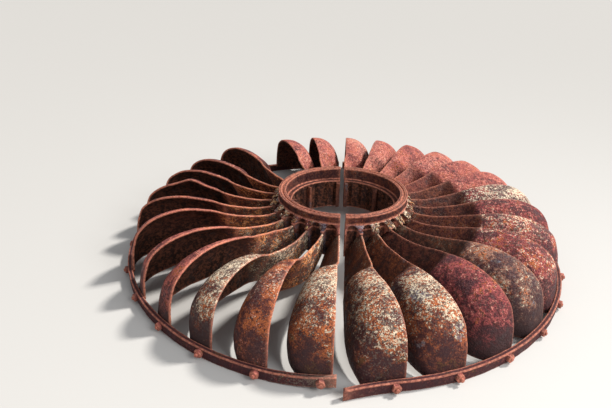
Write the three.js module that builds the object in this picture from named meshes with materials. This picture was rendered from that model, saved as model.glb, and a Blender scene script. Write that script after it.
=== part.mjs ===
// Mixed flow turbine runner, an old wheel taken off its shaft and laid down on its band.
// Millimetres, +Z up. The wheel's axis is Z, the ground is Z = 0 and the joint between
// its two halves is the plane X = 0. Angles run counter-clockwise, seen from above,
// from the start seam of a half. The second half is the first one turned half round.
import * as THREE from 'three';

// Driving dimensions
const BAND_RADIUS = 1150;
const BAND_THICKNESS = 22;
const BAND_HEIGHT = 50;
const HUB_BOTTOM = 90;
const HUB_BOTTOM_RADIUS = 325;
const HUB_SHOULDER = 252;
const HUB_SHOULDER_RADIUS = 382;
const RIM_RADIUS = 340;
const RIM_TOP = 325;
const BORE_RADIUS = 268;
const SEAM_GAP = 26;
const BLADE_POSITIONS = 28;
const PLATE = 10;
const SEAT_GAP = 0.3;

// Values that follow from them
const HALF_TURN = Math.PI;
const BLADES_PER_HALF = BLADE_POSITIONS / 2;
const PITCH = HALF_TURN / BLADES_PER_HALF;
const BAND_STEPS = BLADES_PER_HALF * 4;
const HUB_STEPS = BLADES_PER_HALF * 2;
const BAND_INSIDE = BAND_RADIUS - BAND_THICKNESS;
const BAND_SEAT = BAND_INSIDE * Math.cos(HALF_TURN / BAND_STEPS / 2) - SEAT_GAP;
const hubRadiusAt = (height) =>
  THREE.MathUtils.mapLinear(
    height,
    HUB_BOTTOM,
    HUB_SHOULDER,
    HUB_BOTTOM_RADIUS,
    HUB_SHOULDER_RADIUS,
  );
const hubSeatAt = (height) => hubRadiusAt(height) + SEAT_GAP;

// Rusty cast iron and plate, coloured as the sub-parts look
const iron = (color, roughness = 0.9, metalness = 0.25) =>
  new THREE.MeshStandardMaterial({ color, roughness, metalness });
const MATERIALS = {
  blade: iron(0x7a3b2c),
  hub: iron(0x6b3a2c),
  band: iron(0x7d3c33),
  rib: iron(0x4a2b22),
};

// Helpers
const named = (geometry, material, name) => {
  const mesh = new THREE.Mesh(geometry, material);
  mesh.name = name;
  return mesh;
};
const polar = (radius, angle, height) =>
  new THREE.Vector3(radius * Math.sin(angle), -radius * Math.cos(angle), height);
const two = (number) => String(number).padStart(2, '0');

function solid(points, triangles) {
  const geometry = new THREE.BufferGeometry();
  geometry.setFromPoints(points);
  geometry.setIndex(triangles.flat());
  geometry.computeVertexNormals();
  return geometry;
}

// A closed body carried along a row of equal sections, with a flat cap at each end.
// The outline is counter-clockwise when its first axis points away from the wheel's axis.
function loft(outline, stations, place) {
  const count = outline.length;
  const points = [];
  stations.forEach((station) => {
    outline.forEach((point) => points.push(place(point, station)));
  });
  const triangles = [];
  for (let s = 0; s + 1 < stations.length; s += 1) {
    for (let i = 0; i < count; i += 1) {
      const a = s * count + i;
      const b = s * count + ((i + 1) % count);
      triangles.push([a, b + count, b], [a, a + count, b + count]);
    }
  }
  const last = (stations.length - 1) * count;
  THREE.ShapeUtils.triangulateShape(outline, []).forEach(([a, b, c]) => {
    triangles.push([a, b, c], [last + c, last + b, last + a]);
  });
  return solid(points, triangles);
}
const stationsTo = (steps) => Array.from({ length: steps + 1 }, (_, i) => i / steps);

// Blade: a ladle shaped plate. Its lip stands in one radial plane, and from there the
// plate runs clockwise over nearly one pitch and turns down to a low back edge.
// Lip: distance from the axis and height, from the hub over the crest to the foot.
const LIP = new THREE.SplineCurve(
  [
    [hubSeatAt(247), 247],
    [470, 242],
    [600, 262],
    [740, 298],
    [865, 313],
    [985, 294],
    [1075, 238],
    [1112, 160],
    [BAND_SEAT - 2, 80],
    [BAND_SEAT, 24],
  ].map(([radius, height]) => new THREE.Vector2(radius, height)),
);
// Back edge: distance from the axis, share of a pitch behind the lip, and height.
const BACK_EDGE = new THREE.CatmullRomCurve3(
  [
    [hubSeatAt(112), 0.9, 112],
    [520, 0.94, 62],
    [680, 0.95, 50],
    [810, 0.95, 46],
    [945, 0.9, 38],
    [1060, 0.73, 22],
    [BAND_SEAT, 0.47, 8],
  ].map((values) => new THREE.Vector3(...values)),
);
// Fullness of the plate's cross curve: straight beside the hub, and square in the bowl,
// whose head rises steeply between two places along the plate.
const FLAT_POWER = 2;
const BOWL_POWER = 0.82;
const BOWL_START = 0.26;
const BOWL_FULL = 0.35;
// The first stretch of each plate keeps its place at the hub, however the blade is bent.
const HELD_BY_HUB = 0.1;

// The flat of a tucked blade hangs more steeply, up to where its bowl begins.
const TUCK_HOLDS = 0.12;
const TUCK_ENDS = 0.36;

// Blades that differ from the rule: where along the lip one is bent, how far that
// spreads, by how much the lip is lifted, by what share of a pitch it has swayed
// clockwise, by what share the plate reaches further round at the foot, by how much
// further out along the plate its bowl has its head, how full the bowl is, and by what
// share its flat is tucked in.
const STRAIGHT_BLADE = {
  at: 0,
  spread: 1,
  lift: 0,
  sway: 0,
  foot: 0,
  head: 0,
  power: BOWL_POWER,
  tuck: 0,
};
const BENT_BLADES = {
  right_01: { at: 0.35, spread: 0.25, lift: -25, sway: 0.15, foot: 0.22 },
  right_02: { at: 0.4, spread: 0.3, lift: -28, foot: 0.15, head: 0.05 },
  right_03: { head: 0.08 },
  right_04: { head: 0.07 },
  right_05: { head: 0.05 },
  right_06: { head: 0.04 },
  right_07: { head: 0.02 },
  left_04: { at: 0.5, spread: 0.6, lift: 8, sway: 0.2, power: 1.05 },
  left_05: { power: 1.1 },
  left_06: { power: 1.15 },
  left_07: { at: 0.49, spread: 0.07, lift: 26, power: 1.15 },
  left_08: { at: 0.85, spread: 0.3, sway: 0.35, power: 1.15 },
  left_09: { at: 0.6, spread: 0.35, lift: 35, sway: -0.1, power: 1.2 },
  left_10: { power: 1.15, tuck: 0.4 },
  left_11: { at: 0.1, spread: 0.35, sway: 0.3, head: -0.05, power: 1.1, tuck: 0.6 },
  left_12: { at: 0.25, spread: 0.35, lift: -30, sway: 0.18, head: 0.04, tuck: 0.7 },
  left_13: { at: 0.15, spread: 0.35, lift: -20, sway: 0.22, tuck: 0.85 },
  left_14: { head: 0.04 },
};

// A point of the blade's outer face: along 0 at the hub and 1 at the foot, across 0 at
// the lip and 1 at the back edge.
function bladePoint(along, across, lipAngle, bend) {
  const lip = LIP.getPointAt(along);
  const back = BACK_EDGE.getPoint(along);
  const bowl = THREE.MathUtils.smoothstep(along - bend.head, BOWL_START, BOWL_FULL);
  const power = THREE.MathUtils.lerp(FLAT_POWER, bend.power, bowl);
  const turn = (across * Math.PI) / 2;
  const drop = 1 - Math.max(Math.cos(turn), 0) ** power;
  const sweep = Math.sin(turn) ** power;
  const free = Math.min(along / HELD_BY_HUB, 1);
  const bent = free * Math.exp(-(((along - bend.at) / bend.spread) ** 2));
  const sway = bend.sway * bent * (1 - across);
  const tucked = bend.tuck * (1 - THREE.MathUtils.smoothstep(along, TUCK_HOLDS, TUCK_ENDS));
  const behind = sweep * (back.y * (1 - tucked) + bend.foot * along ** 6);
  const radius = Math.min(THREE.MathUtils.lerp(lip.x, back.x, drop), BAND_SEAT);
  const height = THREE.MathUtils.lerp(lip.y + bend.lift * bent, back.z, drop);
  return polar(radius, lipAngle - (behind + sway) * PITCH, height);
}

// Places along the plate: a few on the flat, a few on the bowl's head and the rest round
// the bowl. A broken blade ends on the flat.
const placesFrom = (start, end, steps) =>
  stationsTo(steps).map((share) => THREE.MathUtils.lerp(start, end, share));
const wholeBlade = (head) => [
  ...placesFrom(0, BOWL_START + head, 2),
  ...placesFrom(BOWL_START + head, BOWL_FULL + head, 2).slice(1),
  ...placesFrom(BOWL_FULL + head, 1, 7).slice(1),
];
const STUB_REACH = 0.12;
const BROKEN_BLADE = placesFrom(0, STUB_REACH, 3);

// The plate between the outer face and the same face moved inwards by its thickness.
const ACROSS_STEPS = 6;
function bladeGeometry(lipAngle, bend, places) {
  const alongSteps = places.length - 1;
  const columns = ACROSS_STEPS + 1;
  const small = 0.004;
  const outer = [];
  const inner = [];
  for (let i = 0; i <= alongSteps; i += 1) {
    for (let j = 0; j < columns; j += 1) {
      const along = places[i];
      const across = j / ACROSS_STEPS;
      const at = (u, w) => bladePoint(u, w, lipAngle, bend);
      const point = at(along, across);
      const u0 = Math.max(along - small, 0);
      const u1 = Math.min(along + small, 1);
      const w0 = Math.max(across - small, 0);
      const w1 = Math.min(across + small, 1);
      const alongDirection = at(u1, across).sub(at(u0, across));
      const acrossDirection = at(along, w1).sub(at(along, w0));
      const inwards = alongDirection.cross(acrossDirection).normalize();
      const inside = point.clone().addScaledVector(inwards, PLATE);
      if (i === 0) {
        const onHub = hubSeatAt(inside.z) / Math.hypot(inside.x, inside.y);
        inside.x *= onHub;
        inside.y *= onHub;
      }
      outer.push(point);
      inner.push(inside);
    }
  }
  const first = outer.length;
  const at = (i, j) => i * columns + j;
  const triangles = [];
  const quad = (a, b, c, d) => triangles.push([a, b, c], [a, c, d]);
  for (let i = 0; i < alongSteps; i += 1) {
    for (let j = 0; j < ACROSS_STEPS; j += 1) {
      quad(at(i, j), at(i, j + 1), at(i + 1, j + 1), at(i + 1, j));
      quad(
        first + at(i, j),
        first + at(i + 1, j),
        first + at(i + 1, j + 1),
        first + at(i, j + 1),
      );
    }
  }
  const wall = (a, b) => quad(a, b, first + b, first + a);
  for (let i = 0; i < alongSteps; i += 1) {
    wall(at(i, 0), at(i + 1, 0));
    wall(at(i + 1, ACROSS_STEPS), at(i, ACROSS_STEPS));
  }
  for (let j = 0; j < ACROSS_STEPS; j += 1) {
    wall(at(0, j + 1), at(0, j));
    wall(at(alongSteps, j), at(alongSteps, j + 1));
  }
  return solid([...outer, ...inner], triangles);
}

// Hub half: a drum that widens upwards to a shoulder, with a grooved rim on top and a
// ledge inside for the shaft's flange.
const RIM_UNDERSIDE = 284;
const RIM_INSIDE = 298;
const LEDGE_HEIGHT = 259;
const GROOVE = { outer: 323, inner: 313, depth: 6 };
function hubGeometry() {
  const outline = [
    [BORE_RADIUS, HUB_BOTTOM],
    [HUB_BOTTOM_RADIUS, HUB_BOTTOM],
    [HUB_SHOULDER_RADIUS, HUB_SHOULDER],
    [RIM_RADIUS, RIM_UNDERSIDE],
    [RIM_RADIUS, RIM_TOP],
    [GROOVE.outer, RIM_TOP],
    [GROOVE.outer, RIM_TOP - GROOVE.depth],
    [GROOVE.inner, RIM_TOP - GROOVE.depth],
    [GROOVE.inner, RIM_TOP],
    [RIM_INSIDE, RIM_TOP],
    [RIM_INSIDE, LEDGE_HEIGHT],
    [BORE_RADIUS, LEDGE_HEIGHT],
  ].map(([x, y]) => new THREE.Vector2(x, y));
  const place = (point, share) => polar(point.x, share * HALF_TURN, point.y);
  return loft(outline, stationsTo(HUB_STEPS), place);
}

// Ribs inside the hub: one at each seam, where the halves were bolted, and three between.
const RIB_BOTTOM = 96;
const RIB_TOP = 250;
const RIB_DEPTH = 26;
const SEAM_RIB_THICKNESS = 22;
const RIB_THICKNESS = 16;
const BORE_SEAT = BORE_RADIUS - 0.8;
function ribGeometry(thickness, side) {
  const height = RIB_TOP - RIB_BOTTOM;
  const geometry = new THREE.BoxGeometry(RIB_DEPTH, thickness, height);
  return geometry.translate(-RIB_DEPTH / 2, (side * thickness) / 2, height / 2);
}
function addRibs(half, side) {
  const seamSeat = Math.sqrt(BORE_SEAT ** 2 - SEAM_RIB_THICKNESS ** 2);
  [
    ['seam_rib_a', 0, SEAM_RIB_THICKNESS, 1, seamSeat],
    ['rib_1', 0.25, RIB_THICKNESS, 0, BORE_SEAT],
    ['rib_2', 0.5, RIB_THICKNESS, 0, BORE_SEAT],
    ['rib_3', 0.75, RIB_THICKNESS, 0, BORE_SEAT],
    ['seam_rib_b', 1, SEAM_RIB_THICKNESS, -1, seamSeat],
  ].forEach(([label, share, thickness, lean, seat]) => {
    const rib = named(ribGeometry(thickness, lean), MATERIALS.rib, `hub_${label}_${side}`);
    rib.rotation.z = share * HALF_TURN - Math.PI / 2;
    rib.position.copy(polar(seat, share * HALF_TURN, RIB_BOTTOM));
    half.add(rib);
  });
}

// Band half: a flat bar on edge round the blade feet. A sprung end reaches over a share
// of the half, and stands outwards and upwards of its place.
const STRAIGHT_END = { reach: 1, outwards: 0, upwards: 0 };
const SPRUNG_OUT = { reach: 0.067, outwards: 44, upwards: 0 };
const SPRUNG_UP = { reach: 0.1, outwards: 0, upwards: 20 };
function bandGeometry({ first, last }) {
  const outline = [
    [BAND_INSIDE, 0],
    [BAND_RADIUS, 0],
    [BAND_RADIUS, BAND_HEIGHT],
    [BAND_INSIDE, BAND_HEIGHT],
  ].map(([x, y]) => new THREE.Vector2(x, y));
  const place = (point, share) => {
    const start = Math.max(1 - share / first.reach, 0) ** 2;
    const end = Math.max(1 - (1 - share) / last.reach, 0) ** 2;
    const radius = point.x + start * first.outwards + end * last.outwards;
    const height = point.y + start * first.upwards + end * last.upwards;
    return polar(radius, share * HALF_TURN, height);
  };
  return loft(outline, stationsTo(BAND_STEPS), place);
}

// One half of the wheel. Blades count counter-clockwise from its start seam.
const LIP_OF_FIRST_BLADE = 0.95 * PITCH;
const lipAngleOf = (number) => LIP_OF_FIRST_BLADE + (number - 1) * PITCH;
function wheelHalf(side, brokenBlade, bandEnds) {
  const half = new THREE.Group();
  half.add(named(hubGeometry(), MATERIALS.hub, `hub_${side}`));
  half.add(named(bandGeometry(bandEnds), MATERIALS.band, `band_${side}`));
  addRibs(half, side);
  for (let number = 1; number <= BLADES_PER_HALF; number += 1) {
    const place = `${side}_${two(number)}`;
    const broken = number === brokenBlade;
    const bend = { ...STRAIGHT_BLADE, ...BENT_BLADES[place] };
    const extent = broken ? BROKEN_BLADE : wholeBlade(bend.head);
    const geometry = bladeGeometry(lipAngleOf(number), bend, extent);
    half.add(named(geometry, MATERIALS.blade, broken ? `blade_stub_${place}` : `blade_${place}`));
  }
  return half;
}

// The wheel, set so that the origin is in the middle of its footprint
const NONE_BROKEN = 0;
const BROKEN_LEFT_BLADE = 3;
const right = wheelHalf('right', NONE_BROKEN, { first: SPRUNG_OUT, last: STRAIGHT_END });
right.position.x = SEAM_GAP / 2;
const left = wheelHalf('left', BROKEN_LEFT_BLADE, { first: STRAIGHT_END, last: SPRUNG_UP });
left.rotation.z = Math.PI;
left.position.x = -SEAM_GAP / 2;
const group = new THREE.Group();
group.position.y = SPRUNG_OUT.outwards / 2;
group.add(right, left);

export default group;
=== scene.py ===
"""Looks of an old mixed flow turbine runner that lies on its band.

Lengths of the wheel are in millimetres in the tables and functions below, and are
turned into metres when a mesh is made. A half of the wheel is built in its own frame:
the axis is Z, and angles run counter-clockwise, seen from above, from its start seam.
A share is a part of something, from 0 to 1.
"""

import math

import bmesh
import bpy
import numpy as np
from mathutils import Matrix, Vector


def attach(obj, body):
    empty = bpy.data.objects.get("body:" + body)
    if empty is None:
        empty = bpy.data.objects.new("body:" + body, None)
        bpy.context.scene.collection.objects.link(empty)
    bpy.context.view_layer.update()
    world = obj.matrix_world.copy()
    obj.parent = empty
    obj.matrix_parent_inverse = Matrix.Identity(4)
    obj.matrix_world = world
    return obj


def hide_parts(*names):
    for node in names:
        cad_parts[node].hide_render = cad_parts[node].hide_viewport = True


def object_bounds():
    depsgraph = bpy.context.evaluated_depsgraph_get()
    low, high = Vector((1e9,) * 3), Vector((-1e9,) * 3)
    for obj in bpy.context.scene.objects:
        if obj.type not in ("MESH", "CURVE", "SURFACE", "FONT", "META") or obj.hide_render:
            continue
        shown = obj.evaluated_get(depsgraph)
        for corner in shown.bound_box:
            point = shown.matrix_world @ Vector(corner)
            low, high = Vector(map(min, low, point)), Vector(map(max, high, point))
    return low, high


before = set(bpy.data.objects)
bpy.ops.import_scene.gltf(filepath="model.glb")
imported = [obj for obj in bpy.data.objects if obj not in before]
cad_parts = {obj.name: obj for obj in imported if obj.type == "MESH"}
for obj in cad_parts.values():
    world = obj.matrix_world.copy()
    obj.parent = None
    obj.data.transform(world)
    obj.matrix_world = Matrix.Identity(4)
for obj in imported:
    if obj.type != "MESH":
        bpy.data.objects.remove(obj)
CAD_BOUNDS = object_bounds()
scene = bpy.context.scene

# Sizes of the wheel, in millimetres
METRE = 0.001
CAD_TOP = CAD_BOUNDS[1][2] / METRE
BAND_RADIUS = 1150.0
BAND_INSIDE = 1128.0
BAND_HEIGHT = 50.0
HUB_BOTTOM = 90.0
HUB_BOTTOM_RADIUS = 325.0
HUB_SHOULDER = 252.0
HUB_SHOULDER_RADIUS = 382.0
RIM_RADIUS = 340.0
RIM_UNDERSIDE = 284.0
RIM_INSIDE = 298.0
RIM_TOP = 325.0
LEDGE_HEIGHT = 259.0
BORE_RADIUS = 268.0
SEAM_GAP = 26.0
AXIS_Y = 22.0
PLATE = 10.0
BLADES_PER_HALF = 14
PITCH = math.pi / BLADES_PER_HALF
FIRST_LIP = 0.95 * PITCH
BAND_SEAT = 1127.4

# Bumps of each surface: their sizes and their heights, in millimetres
LIP_WEAR = (130, 38, 14), (1.1, 0.9, 0.5)
BACK_WEAR = (90, 25), (1.8, 1.0)
PLATE_DENTS = (260, 95, 34), (2.2, 1.3, 0.5)
PLATE_PITS = (22, 9), (0.35, 0.25)
HUB_SIDEWAYS = (120, 38, 13), (1.2, 0.9, 0.45)
HUB_UPWARDS = (90, 30, 11), (0.8, 0.6, 0.35)
BAND_WANDER = (340, 120), (1.0, 0.7)
BAND_BUMPS = (40, 14), (0.7, 0.4)
BAND_DIPS = (200, 60), (1.2, 0.9)
BAND_PITS = (16,), (0.4,)
NUT_BUMPS = (9,), (0.5,)
RIB_BUMPS = (60, 18), (0.8, 0.5)


# Noise: smooth random values on a grid, the same at every run
def hashed(ix, iy, iz, seed):
    """A number from 0 to 1 for each place of a grid."""
    h = (ix * 374761393 + iy * 668265263 + iz * 1440670441 + seed * 974634777) & 0xFFFFFFFF
    h = ((h ^ (h >> 13)) * 1274126177) & 0xFFFFFFFF
    h = (h ^ (h >> 16)) & 0xFFFFFFFF
    return h / 0xFFFFFFFF


def value_noise(points, size, seed):
    """Noise between -1 and 1 with bumps of the given size in millimetres."""
    scaled = np.asarray(points, float) / size
    base = np.floor(scaled).astype(np.int64)
    within = scaled - base
    within = within * within * (3 - 2 * within)
    total = np.zeros(scaled.shape[:-1])
    for corner in np.ndindex(2, 2, 2):
        near = np.where(corner, within, 1 - within)
        weight = near[..., 0] * near[..., 1] * near[..., 2]
        total += weight * hashed(*np.moveaxis(base + corner, -1, 0), seed)
    return 2 * total - 1


def rough(points, bumps, seed):
    """Sum of noises, one for each size of bump."""
    total = 0
    for i, (size, height) in enumerate(zip(*bumps)):
        total = total + height * value_noise(points, size, seed + 17 * i)
    return total


def smoothstep(x, low, high):
    """0 up to low, 1 from high on, and a soft rise between them."""
    t = np.clip((x - low) / (high - low), 0, 1)
    return t * t * (3 - 2 * t)


def polar(radius, angle, height):
    """Points by their distance from the axis, angle from the start seam, and height."""
    return np.stack(
        np.broadcast_arrays(radius * np.sin(angle), -radius * np.cos(angle), height), -1
    )


def place(points, side):
    """From the frame of a half to the frame of the wheel, in metres."""
    p = np.array(points, float)
    turn = 1 if side == "right" else -1
    p[..., 0] = turn * (p[..., 0] + SEAM_GAP / 2)
    p[..., 1] = turn * p[..., 1] + AXIS_Y
    return p * METRE


# Meshes
def enclosed_volume(points, faces):
    """Volume of a closed mesh, below zero where its faces look inwards."""
    total = 0.0
    for size in {len(face) for face in faces}:
        rings = points[np.array([face for face in faces if len(face) == size])]
        for k in range(1, size - 1):
            total += np.einsum("ij,ij->", rings[:, 0], np.cross(rings[:, k], rings[:, k + 1])) / 6
    return total


def set_marks(mesh, marks):
    """Give the points of a mesh the numbers that its material reads."""
    for label, numbers in marks.items():
        layer = mesh.attributes.new(label, "FLOAT", "POINT")
        layer.data.foreach_set("value", np.asarray(numbers, np.float32).ravel())


def add_object(name, data):
    """Put a mesh, a lamp or a camera into the scene."""
    item = bpy.data.objects.new(name, data)
    scene.collection.objects.link(item)
    return item


def add_piece(name, mesh, smooth=True):
    """Put a mesh into the scene as a piece of the wheel."""
    mesh.polygons.foreach_set("use_smooth", [smooth] * len(mesh.polygons))
    piece = add_object(name, mesh)
    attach(piece, "root")
    return piece


def make_object(name, points, faces, marks=None, smooth=True):
    """A piece from points in metres and closed faces, which are turned to look outwards."""
    if enclosed_volume(points, faces) < 0:
        faces = [face[::-1] for face in faces]
    mesh = bpy.data.meshes.new(name)
    mesh.from_pydata(points.tolist(), [], faces)
    mesh.update()
    set_marks(mesh, marks or {})
    return add_piece(name, mesh, smooth)


def grid_quads(rows, columns, start=0, flip=False, closed=False):
    """Quads of a grid of points. A closed grid joins its last column to its first."""
    i = np.arange(rows - 1)[:, None]
    j = np.arange(columns if closed else columns - 1)[None, :]
    k = (j + 1) % columns
    a, b = start + i * columns + j, start + i * columns + k
    c, d = start + (i + 1) * columns + k, start + (i + 1) * columns + j
    quads = np.stack(np.broadcast_arrays(a, b, c, d), -1).reshape(-1, 4)
    return (quads[:, ::-1] if flip else quads).tolist()


# Blade curves
CURVE_STEPS = 400


def spline_points(points, samples):
    """Points evenly spaced along a smooth curve through the given ones."""
    pts = np.array(points, float)
    count = len(pts)
    t = np.linspace(0, count - 1, CURVE_STEPS)
    i = np.minimum(t.astype(int), count - 2)
    w = (t - i)[:, None]
    p0, p1 = pts[np.maximum(i - 1, 0)], pts[i]
    p2, p3 = pts[i + 1], pts[np.minimum(i + 2, count - 1)]
    v0, v1 = (p2 - p0) / 2, (p3 - p1) / 2
    curve = (2 * p1 - 2 * p2 + v0 + v1) * w**3 + (-3 * p1 + 3 * p2 - 2 * v0 - v1) * w**2
    curve = curve + v0 * w + p1
    length = np.r_[0, np.cumsum(np.linalg.norm(np.diff(curve, axis=0), axis=1))]
    at = np.clip(samples, 0, 1) * length[-1]
    return np.stack([np.interp(at, length, curve[:, k]) for k in range(pts.shape[1])], -1)


def centripetal_points(points, samples):
    """Points of a centripetal curve through the given ones."""
    pts = np.array(points, float)
    pts = np.vstack([2 * pts[0] - pts[1], pts, 2 * pts[-1] - pts[-2]])
    spans = len(pts) - 3
    t = np.clip(samples, 0, 1) * spans
    i = np.minimum(t.astype(int), spans - 1)
    w = (t - i)[:, None]
    q0, q1, q2, q3 = (pts[i + k] for k in range(4))
    steps = (q1 - q0, q2 - q1, q3 - q2)
    d0, d1, d2 = (np.linalg.norm(step, axis=1)[:, None] ** 0.5 for step in steps)
    m1 = ((q1 - q0) / d0 - (q2 - q0) / (d0 + d1) + (q2 - q1) / d1) * d1
    m2 = ((q2 - q1) / d1 - (q3 - q1) / (d1 + d2) + (q3 - q2) / d2) * d1
    c2 = -3 * q1 + 3 * q2 - 2 * m1 - m2
    c3 = 2 * q1 - 2 * q2 + m1 + m2
    return q1 + m1 * w + c2 * w**2 + c3 * w**3


def hub_radius(height):
    """Radius of the hub's outer wall, which flares out towards its shoulder."""
    share = (height - HUB_BOTTOM) / (HUB_SHOULDER - HUB_BOTTOM)
    return HUB_BOTTOM_RADIUS + share * (HUB_SHOULDER_RADIUS - HUB_BOTTOM_RADIUS)


# Lip: distance from the axis and height, from the hub over the crest to the foot.
LIP = [
    (hub_radius(247), 247),
    (470, 242),
    (600, 262),
    (740, 298),
    (865, 313),
    (985, 294),
    (1075, 238),
    (1112, 160),
    (BAND_SEAT - 2, 80),
    (BAND_SEAT, 24),
]
# Back edge: distance from the axis, share of a pitch behind the lip, and height.
BACK_EDGE = [
    (hub_radius(112), 0.9, 112),
    (520, 0.94, 62),
    (680, 0.95, 50),
    (810, 0.95, 46),
    (945, 0.9, 38),
    (1060, 0.73, 22),
    (BAND_SEAT, 0.47, 8),
]
# How round a blade is across, as a power, where its bowl begins and is full, and up to
# where the hub keeps it from bending, as shares of its length
FLAT_POWER = 2.0
BOWL_POWER = 0.82
BOWL_START = 0.26
BOWL_FULL = 0.35
HELD_BY_HUB = 0.1

# The flat of a tucked blade hangs more steeply, up to where its bowl begins.
TUCK_HOLDS = 0.12
TUCK_ENDS = 0.36

# Blades that differ from the rule: where along the lip one is bent, how far that spreads,
# by how much the lip is lifted, its sway clockwise and a longer foot, both as shares of a
# pitch, how much further out its bowl has its head, how full the bowl is, and by what
# share its flat is tucked in.
STRAIGHT = dict(at=0, spread=1, lift=0, sway=0, foot=0, head=0, power=BOWL_POWER, tuck=0)
BENT = {
    "right_01": dict(at=0.35, spread=0.25, lift=-25, sway=0.15, foot=0.22),
    "right_02": dict(at=0.4, spread=0.3, lift=-28, foot=0.15, head=0.05),
    "right_03": dict(head=0.08),
    "right_04": dict(head=0.07),
    "right_05": dict(head=0.05),
    "right_06": dict(head=0.04),
    "right_07": dict(head=0.02),
    "left_04": dict(at=0.5, spread=0.6, lift=8, sway=0.2, power=1.05),
    "left_05": dict(power=1.1),
    "left_06": dict(power=1.15),
    "left_07": dict(at=0.49, spread=0.07, lift=26, power=1.15),
    "left_08": dict(at=0.85, spread=0.3, sway=0.35, power=1.15),
    "left_09": dict(at=0.6, spread=0.35, lift=35, sway=-0.1, power=1.2),
    "left_10": dict(power=1.15, tuck=0.4),
    "left_11": dict(at=0.1, spread=0.35, sway=0.3, head=-0.05, power=1.1, tuck=0.6),
    "left_12": dict(at=0.25, spread=0.35, lift=-30, sway=0.18, head=0.04, tuck=0.7),
    "left_13": dict(at=0.15, spread=0.35, lift=-20, sway=0.22, tuck=0.85),
    "left_14": dict(head=0.04),
}


def blade_points(along, across, lip_angle, bend):
    """Outer face of a blade: a row for each place along it, with its places across."""
    lip = spline_points(LIP, along)[:, None, :]
    back = centripetal_points(BACK_EDGE, along)[:, None, :]
    u = along[:, None]
    bowl = smoothstep(u - bend["head"], BOWL_START, BOWL_FULL)
    power = FLAT_POWER + (bend["power"] - FLAT_POWER) * bowl
    turn = np.clip(across, 0, 1) * math.pi / 2
    drop = 1 - np.maximum(np.cos(turn), 0) ** power
    sweep = np.sin(turn) ** power
    place_of_bend = (u - bend["at"]) / bend["spread"]
    bent = np.minimum(u / HELD_BY_HUB, 1) * np.exp(-(place_of_bend**2))
    tucked = bend["tuck"] * (1 - smoothstep(u, TUCK_HOLDS, TUCK_ENDS))
    behind = sweep * (back[..., 1] * (1 - tucked) + bend["foot"] * u**6)
    behind = behind + bend["sway"] * bent * (1 - across)
    radius = np.minimum(lip[..., 0] + (back[..., 0] - lip[..., 0]) * drop, BAND_SEAT)
    edge = lip[..., 1] + bend["lift"] * bent
    height = edge + (back[..., 2] - edge) * drop
    return polar(radius, lip_angle - behind * PITCH, height)


# Blades: points along and across a plate, the wear of its edges, and the broken stub
ALONG_STEPS = 112
ACROSS_STEPS = 50
FINE_POINTS = 241
LIP_WORN_BY = 2.2
BACK_WORN_BY = 3.0
EDGE_ROUND = 4.0
EDGE_STOPS = np.array((0.0, 0.9, 2.4, 4.5, 8.0))
SUNK_IN_HUB = 16.0
SUNK_IN_BAND = 7.0
LOWEST = 1.0
STUB_STEPS = 22
STUB_REACH = 0.12
HELD_AT_ROOT = 0.05
HELD_AT_FOOT = 0.04
TEARS = 9
TEAR_DEPTH = 0.28
TORN_EDGE = (1.2, 3.5)
# Each blade takes its dents and its pits from places of the noise that lie this far apart
DENTS_APART = 1000.0
PITS_APART = 777.0

# Marks on a blade for its material
# Worn edges, lighter partly as a painted highlight, over the first columns from each side
EDGE_COLUMNS = (0, 2, 4, 5)
EDGE_FADE = (1, 0.85, 0.3, 0)
# A painted highlight runs along the crease where the bowl begins, on the inner face
CREASE_AT = BOWL_START + 0.01
CREASE_HIGHLIGHT_WIDTH = 0.01
CREASE_HIGHLIGHT_AT_BACK = 0.6
# The painted shadow on a blade's flat ends this far past the bowl's head, with a soft edge this
# wide
SHADED_TO = 0.34
SHADE_BLUR = 0.025
ROOT_CRUST = 0.035
# The outer face of a blade's flat is darkened as a painted shadow
SHADOW_ON_FLAT = 0.72
# The inner face in the bowl is darkened as painted shade, with some soot
SHADE_AND_SOOT_IN_BOWL = 0.9
# How dark the painted shadow on the outer face of each half's blade flats is, in turn
FLAT_SHADOW = {
    "right": [0.8, 0.8] + 6 * [1.0] + [1.1, 0.8, 0.5, 0.2, 0.15, 0.1],
    "left": [0.1, 0.1] + 12 * [1.0],
}


def worn_places(along, lip_angle, bend, seed):
    """Where the columns of points lie across a plate, close together at its worn edges."""
    rows = len(along)
    fine = np.broadcast_to(np.linspace(0, 1, FINE_POINTS), (rows, FINE_POINTS))
    line = blade_points(along, fine, lip_angle, bend)
    step = np.linalg.norm(np.diff(line, axis=1), axis=2)
    run = np.concatenate([np.zeros((rows, 1)), np.cumsum(step, axis=1)], 1)
    lip_line = line[:, 0] + seed * DENTS_APART
    worn_lip = LIP_WORN_BY + rough(lip_line, LIP_WEAR, seed)
    worn_back = BACK_WORN_BY + rough(lip_line, BACK_WEAR, seed + 5)
    between = ACROSS_STEPS - 2 * len(EDGE_STOPS) + 3
    columns = []
    for row in range(rows):
        first = worn_lip[row] + EDGE_STOPS
        last = run[row, -1] - worn_back[row] - EDGE_STOPS[::-1]
        middle = np.linspace(first[-1], last[0], between)[1:-1]
        places = np.concatenate([first, middle, last])
        columns.append(np.interp(places, run[row], fine[row]))
    return np.array(columns)


def torn_points(along, across, lip_angle, bend):
    """Outer face of the stub: its columns end at different lengths."""
    torn = value_noise(across[0][:, None] * (TEARS, 0, 0), 1, 4)
    reach = 1 - TEAR_DEPTH * (0.5 + 0.5 * torn)
    columns = [
        blade_points(along * reach[j], across[:, j : j + 1], lip_angle, bend)[:, 0]
        for j in range(across.shape[1])
    ]
    return np.stack(columns, 1)


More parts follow.
